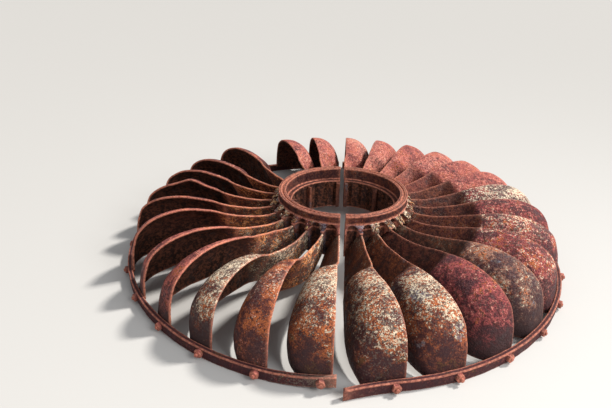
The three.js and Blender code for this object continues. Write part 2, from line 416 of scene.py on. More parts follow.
def edge_depth(rows, count, broken):
    """How far both faces of a plate draw in at its rounded edges."""
    depth = np.zeros((rows, count))
    near = np.minimum(EDGE_STOPS, EDGE_ROUND)
    fall = EDGE_ROUND - np.sqrt(np.maximum(EDGE_ROUND**2 - (EDGE_ROUND - near) ** 2, 0))
    depth[:, : len(fall)] = fall
    depth[:, -len(fall) :] = fall[::-1]
    if broken:
        depth[-2:] = np.maximum(depth[-2:], np.array(TORN_EDGE)[:, None])
    return depth


def plate_faces(points, along, seed, broken):
    """Outer and inner face of a plate, dented and pitted, with rounded edges."""
    inwards = np.cross(np.gradient(points, axis=0), np.gradient(points, axis=1))
    inwards /= np.linalg.norm(inwards, axis=2)[..., None]
    held = smoothstep(along, 0, HELD_AT_ROOT)[:, None]
    if not broken:
        held = held * smoothstep(1 - along, 0, HELD_AT_FOOT)[:, None]
    dents = rough(points + seed * DENTS_APART, PLATE_DENTS, seed) * held
    pits = rough(points + seed * PITS_APART, PLATE_PITS, seed + 3) * held
    depth = edge_depth(*points.shape[:2], broken)
    outer = points + inwards * (depth + dents + pits)[..., None]
    inner = points + inwards * (PLATE - depth + dents - pits)[..., None]
    return outer, inner


def sink_ends(face, broken):
    """Push the root of a plate's face into the hub and its foot into the band."""
    scale = (hub_radius(face[0, :, 2]) - SUNK_IN_HUB) / np.hypot(face[0, :, 0], face[0, :, 1])
    face[0, :, :2] *= scale[:, None]
    if not broken:
        scale = (BAND_SEAT + SUNK_IN_BAND) / np.hypot(face[-1, :, 0], face[-1, :, 1])
        face[-1, :, :2] *= scale[:, None]
        face[-1, :, 2] = np.maximum(face[-1, :, 2], LOWEST)
    face[..., 2] = np.minimum(face[..., 2], CAD_TOP)


def plate_quads(rows, count):
    """Quads of the two faces of a plate and of the narrow wall around them."""
    size = rows * count
    last = (rows - 1) * count
    quads = grid_quads(rows, count) + grid_quads(rows, count, size, flip=True)

    def wall(a, b):
        quads.append([a, b, size + b, size + a])

    for i in range(0, last, count):
        wall(i, i + count)
        wall(i + 2 * count - 1, i + count - 1)
    for j in range(count - 1):
        wall(j + 1, j)
        wall(last + j, last + j + 1)
    return quads


def blade_marks(flat_shadow, along, across, bend, broken):
    """Numbers for the material, for the outer and then the inner face of a plate."""
    rows, count = across.shape
    from_edge = np.minimum(np.arange(count), np.arange(count)[::-1])
    edge = np.interp(from_edge, EDGE_COLUMNS, EDGE_FADE) * np.ones((rows, 1))
    if broken:
        edge[-2:] = 1
    from_head = (along - bend["head"])[:, None] * np.ones((1, count))
    bowl = smoothstep(from_head, BOWL_START, BOWL_FULL)
    # The outer face of the flat is darkened as painted shadow, up to the bowl's head
    shaded = 1 - smoothstep(from_head, SHADED_TO - SHADE_BLUR, SHADED_TO)
    shade_and_soot = SHADOW_ON_FLAT * flat_shadow * shaded
    near_lip = 1 - across
    crust = np.exp(-((along[:, None] / ROOT_CRUST) ** 2)) * near_lip
    crease_highlight = np.exp(-(((from_head - CREASE_AT) / CREASE_HIGHLIGHT_WIDTH) ** 2))
    crease_highlight = crease_highlight * (CREASE_HIGHLIGHT_AT_BACK + (1 - CREASE_HIGHLIGHT_AT_BACK) * near_lip)
    faces = {
        # Worn edges with a painted highlight, and on the inner face a painted highlight along the
        # crease
        "edge": (edge, np.maximum(edge, crease_highlight)),
        # The inner face's flat: its bloom, lightened as painted sunlight
        "sunlit_bloom": (0 * bowl, 1 - bowl),
        # Painted shadow on the outer flat, and painted shade with some soot inside the bowl
        "shade_and_soot": (shade_and_soot, SHADE_AND_SOOT_IN_BOWL * bowl),
        # Pale crust with a painted highlight along the top of the bowl
        "crest_and_highlight": (bowl * near_lip, 0 * bowl),
        "pale": (crust, crust),
    }
    return {mark: np.stack(pair).ravel() for mark, pair in faces.items()}


def blade_mesh(name, side, number, broken):
    """Plate with rounded worn edges, sunk a little into the hub and the band."""
    seed = number * 31 + (500 if side == "left" else 0)
    bend = {**STRAIGHT, **BENT.get(f"{side}_{number:02d}", {})}
    lip_angle = FIRST_LIP + (number - 1) * PITCH
    steps, reach = (STUB_STEPS, STUB_REACH) if broken else (ALONG_STEPS, 1.0)
    along = np.linspace(0, reach, steps + 1)
    across = worn_places(along, lip_angle, bend, seed)
    outer_face = torn_points if broken else blade_points
    faces = plate_faces(outer_face(along, across, lip_angle, bend), along, seed, broken)
    for face in faces:
        sink_ends(face, broken)
    cloud = place(np.stack(faces).reshape(-1, 3), side)
    marks = blade_marks(FLAT_SHADOW[side][number - 1], along, across, bend, broken)
    return make_object(name, cloud, plate_quads(*across.shape), marks)


# Turned forms: a closed outline carried round half a turn, with a cap at each end
CORNER_STEPS = (0.0, 0.33, 0.67, 1.0)
CORNER_ROUND = 4.0
LARGEST_CUT = 0.45
CLEAR_OF_CORNER = 1.3


def rounded_outline(corners, spacing):
    """Outline with rounded corners and points about evenly spaced; 1 marks a corner's."""
    pts = [np.array(corner, float) for corner in corners]
    path, sharp = [], []
    for before, here, after in zip(pts[-1:] + pts[:-1], pts, pts[1:] + pts[:1]):
        back, span = before - here, after - here
        back_length, length = np.linalg.norm(back), np.linalg.norm(span)
        cut = min(CORNER_ROUND, LARGEST_CUT * back_length, LARGEST_CUT * length)
        start = here + back / back_length * cut
        end = here + span / length * cut
        for t in CORNER_STEPS:
            path.append((1 - t) ** 2 * start + 2 * t * (1 - t) * here + t * t * end)
            sharp.append(1.0)
        steps = int(length / spacing)
        for k in range(1, steps):
            point = here + span * (k / steps)
            to_corner = min(np.linalg.norm(point - here), np.linalg.norm(point - after))
            if to_corner > cut * CLEAR_OF_CORNER:
                path.append(point)
                sharp.append(0.0)
    return np.array(path), np.array(sharp)


def turned(name, side, outline, sharp, stations, shape, end_edge):
    """An outline carried round: shape(side, radius, height, share) moves its points at each
    station and gives marks for the material, and the ends are marked worn, with a painted
    highlight, for about end_edge."""
    share = np.linspace(0, 1, stations)[:, None] * np.ones((1, len(outline)))
    every = np.ones_like(share)
    radius, height, marks = shape(side, outline[:, 0] * every, outline[:, 1] * every, share)
    points = polar(radius, share * math.pi, height)
    rows, count = points.shape[:2]
    faces = grid_quads(rows, count, closed=True)
    faces.append(list(range(count))[::-1])
    faces.append([(rows - 1) * count + j for j in range(count)])
    to_end = np.minimum(share, 1 - share) * math.pi * radius
    edge = np.maximum(sharp * every, np.exp(-to_end / end_edge))
    values = {**marks, "edge": np.maximum(edge, marks.get("edge", 0))}
    cloud = place(points.reshape(-1, 3), side)
    return make_object(name, cloud, faces, values)


# Hub: the groove in the rim, the arches under it and the shallow slots in the bore
GROOVE_INSIDE = 313.0
GROOVE_OUTSIDE = 323.0
GROOVE_DEPTH = 6.0
GROOVE_DRAFT = 1.0
RIM_MIDDLE = 300.0
RIM_DROP = 0.5
LEDGE_CORNER = 8.0
OUTER_WALL_FROM = 315.0
HUB_STATIONS = 225
HUB_SPACING = 7.5
HUB_END_EDGE = 10.0
# Widths of arches and slots are shares of a pitch, and ARCH_SIDE is one of ARCH_HALF
ARCH_CENTRE = 0.5
ARCH_HALF = 0.4
ARCH_SIDE = 0.18
ARCH_RISE = 34.0
ARCH_TOP = 283.0
ARCH_CURL = 7.0
ARCH_FOOT = 205.0
ARCH_WALL = 337.0
ARCH_EDGE = 6.0
SLOT_HALF = 0.2
SLOT_SIDE = 0.06
SLOT_DEPTH = 9.0
SLOT_BOTTOM = 104.0
SLOT_TOP = 240.0
SLOT_END = 6.0
SEAM_FADE = (0.002, 0.006)
WEB_HEIGHTS = (190, 235)
NEAR = 1.0
# Where lime has dried on the webs, and where they look blue: shares of a half turn
LIMED = {"right": (0.1, 0.62), "left": (0.4, 0.75)}
BLUED = {"right": (0.0, 0.16), "left": (0.42, 0.97)}
WINDOW_END = (-0.02, 0.04)


def window(share, first, last):
    """1 between two shares of a half turn, with soft ends, and 0 elsewhere."""
    return smoothstep(share - first, *WINDOW_END) * smoothstep(last - share, *WINDOW_END)


def place_in_pitch(share):
    """How far it is on from a blade's lip to the next one, as a share of the pitch."""
    return ((share * math.pi - FIRST_LIP) / PITCH) % 1.0


def arch_recess(share, height):
    """1 inside the arches between the blade roots, and 0 outside them."""
    across = (place_in_pitch(share) - ARCH_CENTRE) / ARCH_HALF
    top = ARCH_TOP - ARCH_RISE * (1 - np.sqrt(np.clip(1 - across**2, 0, 1)))
    return smoothstep(top - height, 0, ARCH_CURL) * smoothstep(1 - np.abs(across), 0, ARCH_SIDE)


def hub_shape(side, radius, height, share):
    """Arches between the blade roots, slots in the bore, the marks of dirt, and painted shade in
    the hollows.
    """
    seed = 40 if side == "right" else 70
    outer_wall = (radius > OUTER_WALL_FROM) & (height < RIM_UNDERSIDE - NEAR)
    bore = np.abs(radius - BORE_RADIUS) < NEAR
    inside_rim = (radius < RIM_INSIDE + NEAR) & (height > LEDGE_HEIGHT - LEDGE_CORNER)
    groove = (radius > GROOVE_INSIDE - NEAR) & (radius < GROOVE_OUTSIDE + NEAR)
    groove = groove & (height > RIM_MIDDLE) & (height < RIM_TOP - GROOVE_DEPTH / 2)
    from_seam = smoothstep(np.minimum(share, 1 - share), *SEAM_FADE)
    recess = arch_recess(share, height) * outer_wall * from_seam
    radius = radius - recess * np.maximum(radius - ARCH_WALL, 0)
    slot = smoothstep(SLOT_HALF - np.abs(place_in_pitch(share) - 0.5), 0, SLOT_SIDE)
    tall = smoothstep(height, SLOT_BOTTOM, SLOT_BOTTOM + SLOT_END)
    tall = tall * smoothstep(SLOT_TOP - height, 0, SLOT_END)
    radius = radius + SLOT_DEPTH * slot * tall * bore * from_seam
    points = polar(radius, share * math.pi, height)
    radius = radius + rough(points, HUB_SIDEWAYS, seed)
    height = height + rough(points, HUB_UPWARDS, seed + 9)
    web = outer_wall * (1 - recess) * smoothstep(height, *WEB_HEIGHTS)
    rim_face = (radius > RIM_INSIDE + NEAR) & (height > RIM_UNDERSIDE - NEAR)
    # Painted shade, with some soot, darkens the arches, the bore and its slots, the inside of the
    # rim and its groove; the rim's top and outer faces are darker as well
    shaded_and_sooty = [(0.85, recess), (0.85, bore), (0.5, inside_rim), (0.6, groove), (0.5, rim_face)]
    shaded_and_sooty.append((1.0, slot * bore))
    marks = {
        # Worn metal with a painted highlight along the edges of the arches
        "edge": np.minimum(ARCH_EDGE * recess * (1 - recess), 1) * (height > ARCH_FOOT),
        "shade_and_soot": np.maximum.reduce([amount * area for amount, area in shaded_and_sooty]),
        "pale": web * window(share, *LIMED[side]),
        "blue": outer_wall * window(share, *BLUED[side]),
    }
    return radius, np.minimum(height, RIM_TOP), marks


def hub_mesh(side):
    corners = [
        (BORE_RADIUS, HUB_BOTTOM),
        (HUB_BOTTOM_RADIUS, HUB_BOTTOM),
        (HUB_SHOULDER_RADIUS, HUB_SHOULDER),
        (RIM_RADIUS, RIM_UNDERSIDE),
        (RIM_RADIUS, RIM_TOP),
        (GROOVE_OUTSIDE, RIM_TOP),
        (GROOVE_OUTSIDE - GROOVE_DRAFT, RIM_TOP - GROOVE_DEPTH),
        (GROOVE_INSIDE + GROOVE_DRAFT, RIM_TOP - GROOVE_DEPTH),
        (GROOVE_INSIDE, RIM_TOP - RIM_DROP),
        (RIM_INSIDE, RIM_TOP - 2 * RIM_DROP),
        (RIM_INSIDE, LEDGE_HEIGHT),
        (BORE_RADIUS, LEDGE_HEIGHT),
    ]
    outline, sharp = rounded_outline(corners, HUB_SPACING)
    piece = turned(f"hub_casting_{side}", side, outline, sharp, HUB_STATIONS, hub_shape,
                   HUB_END_EDGE)
    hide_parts(f"hub_{side}")
    return piece


# Band: how its ends at the start and the far seam are bent, each by the share of the half
# turn that the bend takes up and how far the end stands out and up, in millimetres
LIFTED_BY = 20.0
BAND_ENDS = {
    "right": ((0.067, 44.0, 0.0), (1.0, 0.0, 0.0)),
    "left": ((1.0, 0.0, 0.0), (0.1, 0.0, LIFTED_BY)),
}
BAND_STATIONS = 337
BAND_SPACING = 7.0
BAND_WORN_BY = 1.6
BAND_TOP_WORN_BY = 1.4
BAND_END_EDGE = 26.0
LOWER_EDGE_WEAR = 0.35
LIME_AT_LIFTED_END = 1.6


def band_swing(side, share):
    """How far the bent ends of a half's band stand out and up at a share of its turn."""
    out, up = 0.0, 0.0
    for (reach, end_out, end_up), from_end in zip(BAND_ENDS[side], (share, 1 - share)):
        bend = np.maximum(1 - from_end / reach, 0) ** 2
        out = out + bend * end_out
        up = up + bend * end_up
    return out, up


def band_shape(side, radius, height, share):
    """A worn bar that wanders a little, with its bent ends."""
    seed = 210 if side == "right" else 240
    out, up = band_swing(side, share)
    points = polar(radius, share * math.pi, height)
    swing = polar(BAND_RADIUS, share * math.pi, 0)
    radius = radius - BAND_WORN_BY + rough(swing, BAND_WANDER, seed)
    radius = radius + rough(points, BAND_BUMPS, seed + 3)
    top = height > BAND_HEIGHT / 2
    dips = rough(swing, BAND_DIPS, seed + 6) - BAND_TOP_WORN_BY
    height = height + np.where(top, dips, 0.0) + rough(points, BAND_PITS, seed)
    height = np.clip(height, 0.0, BAND_HEIGHT)
    marks = {"pale": LIME_AT_LIFTED_END * np.sqrt(up / LIFTED_BY)}
    return radius + out, height + up, marks


def band_mesh(side):
    walls = (BAND_INSIDE, BAND_RADIUS)
    corners = [(radius, 0) for radius in walls] + [(radius, BAND_HEIGHT) for radius in walls[::-1]]
    outline, sharp = rounded_outline(corners, BAND_SPACING)
    sharp = sharp * (outline[:, 1] > BAND_HEIGHT / 2) + LOWER_EDGE_WEAR * sharp
    sharp = np.minimum(sharp, 1)
    piece = turned(f"band_bar_{side}", side, outline, sharp, BAND_STATIONS, band_shape,
                   BAND_END_EDGE)
    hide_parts(f"band_{side}")
    return piece


# Nuts and stud ends outside the band, one for each blade's foot
NUT_FLATS = 34.0
NUT_HEIGHT = 15.0
STUD_RADIUS = 8.5
STUD_PROUD = 8.0
NUT_AT_HEIGHT = 27.0
NUT_BEHIND_LIP = math.radians(2.3)
NUT_SUNK = 2.4
NUT_LEAN = 0.12
STUD_ROOM = 60.0
ROOM_TO_SPARE = 6.0
THINNEST_NUT = 5.0
LEAST_STUD = 4.0
BARE_STUD = (2.6, 5.0)
CORNER_WEAR = 0.12
NUTS_APART = 300
# Rings of a worn nut's top and of a stud's tip: how far each is below the end, its size
NUT_TOP = ((0.6, 1.02), (0.0, 0.8))
NUT_CHAMFER = 3.5
STUD_TIP = ((1.8, 1.0), (0.0, 0.72))


def ring_of(radius, sides, turn=0.0):
    angle = np.arange(sides) * 2 * math.pi / sides + turn
    return np.stack([radius * np.cos(angle), radius * np.sin(angle)], -1)


def stack_of_rings(rings, start):
    """A closed solid of rings on one axis: (outline, distance along the axis)."""
    points = [(x, y, out) for outline, out in rings for x, y in outline]
    sides = len(rings[0][0])
    faces = grid_quads(len(rings), sides, start, closed=True)
    faces.append([start + j for j in range(sides)][::-1])
    faces.append([start + (len(rings) - 1) * sides + j for j in range(sides)])
    return np.array(points), faces


def room_outwards(base, outwards, side):
    """How far a stud can stand out before it leaves the solids' box."""
    low, high = (np.array(corner) / METRE for corner in CAD_BOUNDS)
    centre = place(base, side) / METRE
    tip = place(base + outwards * STUD_ROOM, side) / METRE - centre
    room = STUD_ROOM
    for k in (0, 1):
        if abs(tip[k]) > 1e-6:
            limit = (high[k] if tip[k] > 0 else low[k]) - centre[k]
            room = min(room, limit / tip[k] * STUD_ROOM - ROOM_TO_SPARE)
    return room


def nut_and_stud(room, length, turn):
    """Rings of a worn nut, where there is room for one, and of the stud's end."""
    parts = []
    nut = min(NUT_HEIGHT + NUT_SUNK, room - LEAST_STUD)
    stud = min(nut + length, room)
    if nut < THINNEST_NUT:
        shortest, longest = BARE_STUD
        stud = max(min(room, longest), shortest)
    else:
        hexagon = ring_of(NUT_FLATS / 2 / math.cos(math.pi / 6), 6, turn)
        hexagon = np.repeat(hexagon, 3, axis=0)
        neighbours = np.roll(hexagon, 1, 0) + np.roll(hexagon, -1, 0)
        hexagon += CORNER_WEAR * (neighbours - 2 * hexagon)
        slim = hexagon * (NUT_FLATS / 2) / np.hypot(*hexagon.T)[:, None]
        top = [(slim * size, nut - below) for below, size in NUT_TOP]
        parts.append([(hexagon, -1.0), (hexagon, nut - NUT_CHAMFER)] + top)
    disc = ring_of(STUD_RADIUS, sides=16)
    tip = [(disc * size, stud - below) for below, size in STUD_TIP]
    return parts + [[(disc, -1.5)] + tip]


def nut_meshes(side):
    """All nuts and stud ends of a half, as one piece."""
    cloud, faces, edges = [], [], []
    total = 0
    for number in range(1, BLADES_PER_HALF + 1):
        angle = FIRST_LIP + (number - 1) * PITCH - NUT_BEHIND_LIP
        seed = number + (60 if side == "left" else 0)
        longer, turned_by, leaning = (hashed(seed, k, 3, 8) for k in range(3))
        out, up = band_swing(side, angle / math.pi)
        base = polar(BAND_RADIUS - NUT_SUNK + out, angle, NUT_AT_HEIGHT + up)
        outwards = polar(1.0, angle, 0.0)
        sideways = polar(1.0, angle + math.pi / 2, 0.0)
        leaned = outwards + (leaning - 0.5) * NUT_LEAN * sideways
        length = STUD_PROUD * (0.5 + longer)
        room = room_outwards(base, outwards, side)
        for rings in nut_and_stud(room, length, turned_by * math.pi / 3):
            points, more = stack_of_rings(rings, total)
            local = base + points[:, 2:3] * leaned + points[:, 0:1] * sideways
            local = local + points[:, 1:2] * (0, 0, 1.0)
            bumps = [rough(local + NUTS_APART * k, NUT_BUMPS, seed + k) for k in range(3)]
            cloud.append(local + np.stack(bumps, -1))
            faces += more
            ends = np.repeat([ring[1] for ring in rings], len(rings[0][0]))
            # Ends of nuts and studs are lighter: worn metal with a painted highlight
            edges.append(smoothstep(ends, ends.max() * 0.4, ends.max()))
            total += len(local)
    points = place(np.concatenate(cloud), side)
    marks = {"edge": np.concatenate(edges)}
    return make_object(f"band_nuts_{side}", points, faces, marks, smooth=False)


# Lime that has crusted at the blade roots under the rim: (shares of a half turn, how many
# lumps each root has, half their width, their length up the slope), in millimetres
CRUSTS = {
    "right": (((0.1, 0.36), 9, 4.6, 15.0), ((0.36, 0.66), 4, 6.0, 11.0)),
    "left": (((0.3, 0.8), 3, 10.0, 12.0), ((0.8, 0.97), 2, 6.0, 9.0)),
}
SLOPE = np.array((RIM_RADIUS - HUB_SHOULDER_RADIUS, RIM_UNDERSIDE - HUB_SHOULDER))
LUMP_RINGS = 8
LUMP_SPREAD = 0.5
LUMP_POLE = 0.12
LUMP_FLAT = 0.8
LUMP_KNOBS = (0.8,), (0.35,)
LUMPS_APART = 3.7
# The least size of a lump and how much more it can be, and the same for its place up the slope
LUMP_SIZES = (0.55, 0.8)
LUMP_PLACES = (0.15, 0.6)


def lump(angle, up_slope, width, length, seed, start):
    """A knobbly lump, half sunk in the slope between the hub's shoulder and the rim."""
    along = SLOPE / np.hypot(*SLOPE)
    radius, height = np.array((HUB_SHOULDER_RADIUS, HUB_SHOULDER)) + up_slope * SLOPE
    base = polar(radius, angle, height)
    up = polar(along[0], angle, along[1])
    out = polar(along[1], angle, -along[0])
    beside = polar(1.0, angle + math.pi / 2, 0.0)
    tilt = np.linspace(LUMP_POLE, math.pi - LUMP_POLE, LUMP_RINGS)
    rings = [(ring_of(math.sin(t), sides=12), -math.cos(t)) for t in tilt]
    points, faces = stack_of_rings(rings, start)
    knob = 1 + rough(points + seed * LUMPS_APART, LUMP_KNOBS, seed)[:, None]
    points = points * knob * (width, LUMP_FLAT * width, length)
    local = points[:, 0:1] * beside + points[:, 1:2] * out + points[:, 2:3] * up
    return base + local, faces


def crust_mesh(side):
    """All lumps of lime of a half, as one piece."""
    cloud, faces = [], []
    total = 0
    for number in range(1, BLADES_PER_HALF + 1):
        share = (FIRST_LIP + (number - 1) * PITCH) / math.pi
        for (first, last), count, width, length in CRUSTS[side]:
            for k in range(count if first <= share < last else 0):
                seed = number * 10 + k + (400 if side == "left" else 0)
                beside, larger, higher = (hashed(seed, j, 5, 2) for j in range(3))
                angle = share * math.pi + (beside - 0.5) * LUMP_SPREAD * PITCH
                size = LUMP_SIZES[0] + LUMP_SIZES[1] * larger
                up_slope = LUMP_PLACES[0] + LUMP_PLACES[1] * higher
                points, more = lump(angle, up_slope, width * size, length * size, seed, total)
                cloud.append(points)
                faces += more
                total += len(points)
    points = place(np.concatenate(cloud), side)
    return make_object(f"lime_crust_{side}", points, faces)


# Ribs in the bore: the solids' blocks with worn edges
RIB_BEVEL = 2.8
RIB_WORN_BY = 0.8
# The ribs stand in the bore: they are darkened as painted shade, and their edges marked worn with a
# painted highlight
RIB_MARKS = {"edge": 0.3, "shade_and_soot": 0.6}
RIB_PROFILE = 0.6
LONG_EDGE = 20.0
LONG_CUTS = 9
SAME_POINT = 1e-5
SAME_PLANE = 0.02


def put_in_order(elements, centre):
    """Sort the points or the faces of a mesh by where they are."""
    ranked = sorted(elements, key=lambda element: [round(x, 6) for x in centre(element)])
    rank = {element: k for k, element in enumerate(ranked)}
    elements.sort(key=lambda element: rank[element])


def worn_copy(node, name, seed):
    """A copy of a solid's mesh with rounded, uneven edges."""
    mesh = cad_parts[node].data.copy()
    work = bmesh.new()
    work.from_mesh(mesh)
    bmesh.ops.remove_doubles(work, verts=work.verts, dist=SAME_POINT)
    bmesh.ops.dissolve_limit(work, angle_limit=SAME_PLANE, verts=work.verts, edges=work.edges)
    bmesh.ops.bevel(work, geom=list(work.edges), offset=RIB_BEVEL * METRE, segments=2,
                    affect="EDGES", profile=RIB_PROFILE)
    long_edges = [e for e in work.edges if e.calc_length() > LONG_EDGE * METRE]
    bmesh.ops.subdivide_edges(work, edges=long_edges, cuts=LONG_CUTS, use_grid_fill=True)
    bmesh.ops.triangulate(work, faces=[f for f in work.faces if len(f.verts) > 4])
    bmesh.ops.recalc_face_normals(work, faces=work.faces)
    put_in_order(work.verts, lambda vertex: vertex.co)
    put_in_order(work.faces, lambda face: face.calc_center_median())
    points = np.array([v.co for v in work.verts]) / METRE
    normals = np.array([v.normal for v in work.verts])
    points = points + normals * (rough(points, RIB_BUMPS, seed) - RIB_WORN_BY)[:, None]
    for vertex, point in zip(work.verts, points):
        vertex.co = point * METRE
    work.to_mesh(mesh)
    work.free()
    count = len(mesh.vertices)
    set_marks(mesh, {label: np.full(count, number) for label, number in RIB_MARKS.items()})
    piece = add_piece(name, mesh)
    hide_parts(node)
    return piece


# Materials
FLECK_SPREAD = 0.26
FLECK_SOFTNESS = 0.014


class Nodes:
    """Short forms for building a material."""

    def __init__(self, name):
        self.material = bpy.data.materials.new(name)
        self.material.use_nodes = True
        self.tree = self.material.node_tree
        self.tree.nodes.clear()
        self.coordinates = self.new("TexCoord").outputs["Object"]

    def new(self, kind, **settings):
        node = self.tree.nodes.new("ShaderNode" + kind)
        for key, value in settings.items():
            setattr(node, key, value)
        return node

    def feed(self, socket, value):
        if isinstance(value, bpy.types.NodeSocket):
            self.tree.links.new(value, socket)
        else:
            socket.default_value = value

    def fill(self, node, inputs):
        """Feed several inputs of a node by their names."""
        for name, value in inputs.items():
            self.feed(node.inputs[name], value)

    def math(self, operation, *values, clamp=False):
        node = self.new("Math", operation=operation, use_clamp=clamp)
        for socket, value in zip(node.inputs, values):
            self.feed(socket, value)
        return node.outputs[0]

    def blend(self, a, share, b):
        """Weighted sum of two noises."""
        return self.math("MULTIPLY_ADD", a, share, self.math("MULTIPLY", b, 1 - share))

    def flecks(self, noise, cover, strength):
        """Sharp flecks of a noise that cover about the given share of the surface."""
        low = self.math("MULTIPLY_ADD", cover, -FLECK_SPREAD, 0.5 + FLECK_SPREAD / 2)
        high = self.math("ADD", low, FLECK_SOFTNESS)
        return self.step(noise, low, high, strength)

    def attribute(self, name):
        return self.new("Attribute", attribute_name=name).outputs["Fac"]

    def moved(self, offset):
        node = self.new("Mapping")
        self.fill(node, {"Vector": self.coordinates, "Location": offset})
        return node.outputs[0]

    def noise(self, scale, detail, roughness, vector):
        node = self.new("TexNoise")
        inputs = {"Vector": vector, "Scale": scale, "Detail": detail, "Roughness": roughness}
        self.fill(node, inputs)
        return node.outputs["Fac"]

    def step(self, value, low, high, top=1.0):
        node = self.new("MapRange", interpolation_type="SMOOTHSTEP")
        self.fill(node, {"Value": value, "From Min": low, "From Max": high, "To Max": top})
        return node.outputs["Result"]

    def mix(self, amount, a, b):
        node = self.new("Mix", data_type="RGBA")
        self.feed(node.inputs["Factor"], amount)
        self.feed(node.inputs[6], a)
        self.feed(node.inputs[7], b)
        return node.outputs[2]

    def height(self):
        node = self.new("SeparateXYZ")
        self.feed(node.inputs[0], self.coordinates)
        return node.outputs["Z"]

    def finished(self, inputs):
        """The material, with its shader."""
        shader = self.new("BsdfPrincipled")
        self.fill(shader, inputs)
        output = self.new("OutputMaterial")
        self.feed(output.inputs["Surface"], shader.outputs[0])
        return self.material


def shade(red, green, blue):
    """A colour as a screen shows it, from 0 to 255, as the shader wants it."""
    linear = []
    for value in (red / 255, green / 255, blue / 255):
        linear.append(value / 12.92 if value < 0.04 else ((value + 0.055) / 1.055) ** 2.4)
    return (*linear, 1.0)


CREAM = shade(238, 222, 192)
ORANGE = shade(192, 108, 62)
PINK = shade(222, 144, 126)
PLUM = shade(58, 30, 36)
SLATE = shade(116, 124, 134)
# Bloom on the inner faces of the flats, lighter and more orange as painted sunlight
SUNLIT_BLOOM_DARK = shade(198, 104, 72)
SUNLIT_BLOOM_LIGHT = shade(255, 190, 136)
SUNLIT_BLOOM_ORANGE = shade(255, 156, 84)
# Colour that darkens the pieces towards the bottom
LOW_DARK = shade(56, 40, 40)
OLIVE = shade(84, 68, 42)
# Dark colours of soot that also stand in for painted shade and shadow
SHADE_AND_SOOT = shade(38, 22, 16)
SHADE_AND_SOOT_WARM = shade(98, 58, 42)
# Worn metal at the edges, lighter partly as a painted highlight
WORN_EDGE_AND_HIGHLIGHT = shade(216, 138, 112)

# Noises of the rust: bumps to the metre, detail, roughness, and which shift they take
SHIFTS = (0.0, 7.3, -4.1)
NOISES = {
    "broad": (3.4, 3.0, 0.5, 0),
    "patch": (7.0, 4.0, 0.6, 2),
    "cloud": (13.0, 4.0, 0.6, 1),
    "blotch": (36.0, 4.0, 0.65, 0),
    "grit": (74.0, 3.0, 0.75, 1),
    "grain": (98.0, 3.0, 0.75, 2),
    "fine": (170.0, 2.0, 0.7, 0),
}
# Kinds of fleck in the order in which they lie on the ground: the two noises that shape
# one and the share of the first, how much of the ground it hides, the slow noise that its
# cover follows and by how much, and what each mark on the surface adds to the cover
FLECKS = {
    "pink": (("grain", 0.7, "blotch"), 0.8, ("broad", 1.2), {}),
    "orange": (("grit", 0.8, "blotch"), 0.85, ("cloud", 1.2), {"sunlit_bloom": 0.4, "low_dark": -0.3}),
    "olive": (("cloud", 0.6, "blotch"), 0.75, None, {}),
    "slate": (("patch", 0.75, "blotch"), 0.7, None, {"blue": 0.6}),
    "cream": (("grain", 0.75, "blotch"), 0.9, ("broad", 1.2),
              {"low_dark": -0.28, "pale": 0.5, "sunlit_bloom": 0.34}),
    "plum": (("grit", 0.55, "grain"), 0.85, ("cloud", -1.2), {"low_dark": 0.2, "sunlit_bloom": 0.12}),
}
TINTS = {"pink": PINK, "olive": OLIVE, "slate": SLATE, "cream": CREAM, "plum": PLUM}
SHARES = {"pink": 0.2, "orange": 0.3, "olive": 0.0, "slate": -0.3, "cream": 0.2, "plum": 0.44}
# Heights in metres between which the darkening towards the bottom and moss set in, and how far
# clouds shift that darkening
LOW_DARK_HEIGHTS = (0.32, 0.13)
LOW_DARK_WANDER = 0.16
LOW_DARK_ON_BLOOM = -0.7
MOSS_HEIGHTS = (0.2, 0.04)
# Values of a noise between which a colour turns, the last one with its strength
GROUND_TURN = (0.42, 0.58)
SHADE_AND_SOOT_TURN = (0.46, 0.56)
PIT_TURN = (0.47, 0.42, 0.65)
# Patchy soot with painted shade, and worn edges with a painted highlight: a noise times the first
# number, plus the second
SHADE_AND_SOOT_PATCHES = (0.5, 0.8)
EDGE_PATCHES = (3.0, -0.85)
ROUGHNESS_TURN = (0.2, 0.6, 0.97)
BUMP_HEIGHT = 0.009


def rust_noises(n, offset):
    """The noises that all layers of a rust share."""
    vectors = [n.moved(tuple(v + shift for v in offset)) for shift in SHIFTS]
    return {
        label: n.noise(scale, detail, roughness, vectors[which])
        for label, (scale, detail, roughness, which) in NOISES.items()
    }


def rust_marks(n, noises):
    """Where blooms with painted sunlight, crests with a painted highlight, lime, blue webs, moss
    and the darkening towards the bottom are on the surface.
    """
    marks = {label: n.attribute(label) for label in ("sunlit_bloom", "crest_and_highlight", "pale", "blue")}
    marks["low"] = n.step(n.height(), *MOSS_HEIGHTS)
    level = n.math("MULTIPLY_ADD", noises["cloud"], LOW_DARK_WANDER, n.height())
    on_bloom = n.math("MULTIPLY_ADD", marks["sunlit_bloom"], LOW_DARK_ON_BLOOM, 1.0)
    marks["low_dark"] = n.math("MULTIPLY", n.step(level, *LOW_DARK_HEIGHTS), on_bloom)
    return marks


def fleck_layers(n, colour, noises, marks, shares, added):
    """Lay every kind of fleck over a colour."""
    tints = {**TINTS, "orange": n.mix(marks["sunlit_bloom"], ORANGE, SUNLIT_BLOOM_ORANGE)}
    for kind, ((first, share, second), strength, follows, effects) in FLECKS.items():
        cover = shares[kind]
        if follows:
            field, swing = follows
            cover = n.math("MULTIPLY_ADD", noises[field], swing, cover - swing / 2)
        for mark, effect in {**effects, **added.get(kind, {})}.items():
            cover = n.math("MULTIPLY_ADD", marks[mark], effect, cover)
        spots = n.blend(noises[first], share, noises[second])
        colour = n.mix(n.flecks(spots, cover, strength), colour, tints[kind])
    return colour


